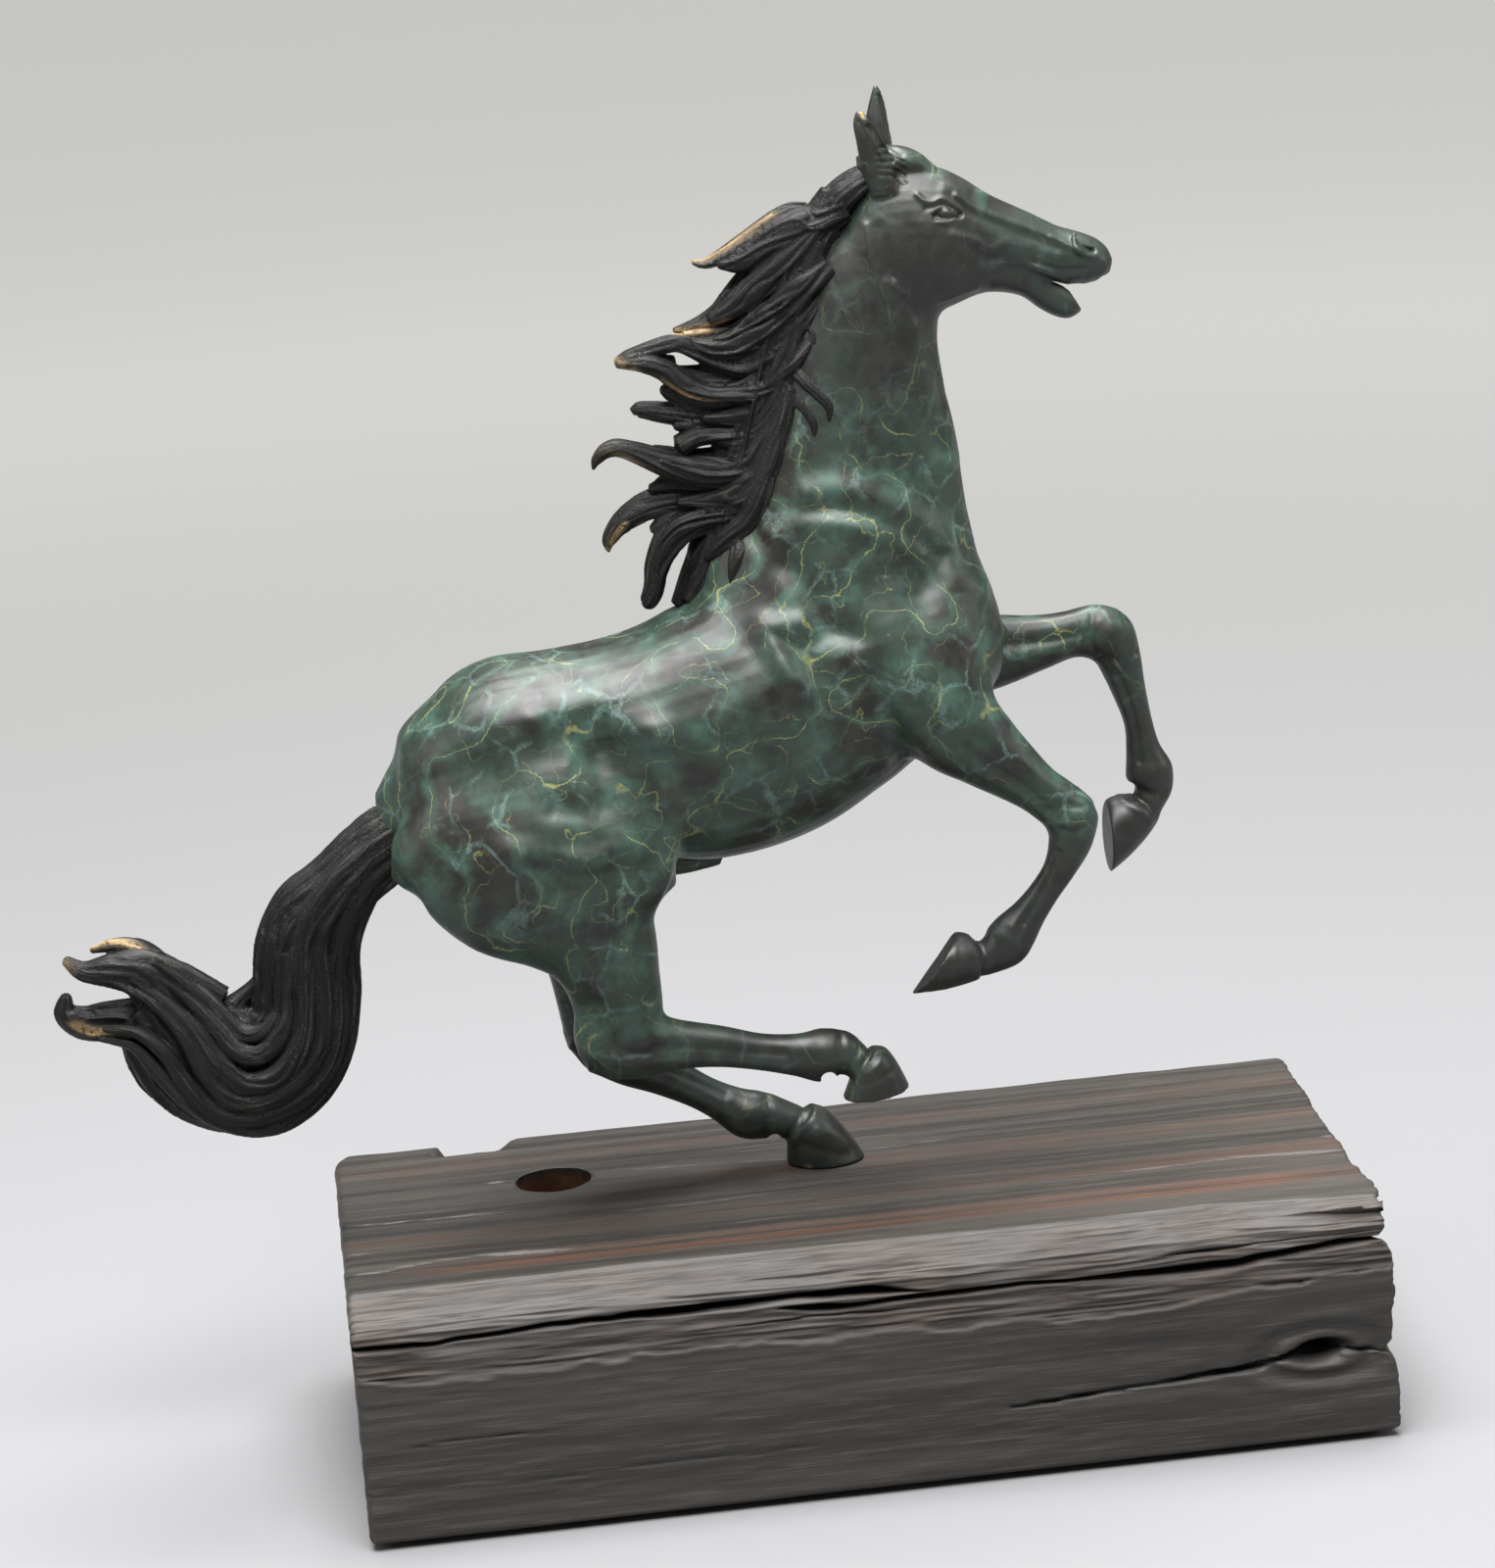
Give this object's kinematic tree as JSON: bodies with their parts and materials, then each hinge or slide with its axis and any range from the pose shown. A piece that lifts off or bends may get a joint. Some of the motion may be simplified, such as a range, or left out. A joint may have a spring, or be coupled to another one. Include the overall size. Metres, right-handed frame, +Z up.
{
  "type": "horse statue",
  "caption": "Patinated bronze horse at the gallop, flowing mane and hooked tail, fixed by one hind hoof to a weathered timber block.",
  "frame": {"origin": "on the resting plane, under the middle of the whole statue's bounding box", "axes": "+X the way the horse faces, along the block; +Y the horse's left; +Z up"},
  "size_m": [0.538, 0.205, 0.5655],
  "materials": {
    "patinated_bronze": "dark green-brown patina with fine pale gold veins, waxed satin",
    "dark_bronze_hair": "near-black patina, rubbed back to warm bronze on the edges, satin",
    "zinc_steel": "plain zinc plate",
    "sleeper_timber": "weathered grey-brown hardwood with red-brown streaks, oiled satin",
    "felt": "black felt"
  },
  "bodies": {
    "root": {"torso_casting": "patinated_bronze", "neck_casting": "patinated_bronze", "head_casting": "patinated_bronze", "mane_upper_casting": "dark_bronze_hair", "mane_lower_casting": "dark_bronze_hair", "tail_casting": "dark_bronze_hair", "foreleg_right_casting": "patinated_bronze", "foreleg_left_casting": "patinated_bronze", "hindleg_right_casting": "patinated_bronze", "hindleg_left_casting": "patinated_bronze", "mounting_stud": "zinc_steel", "stud_washer": "zinc_steel", "stud_nut": "zinc_steel", "wood_block": "sleeper_timber", "foot_pad_1": "felt", "foot_pad_2": "felt", "foot_pad_3": "felt", "foot_pad_4": "felt"}
  },
  "joints": []
}
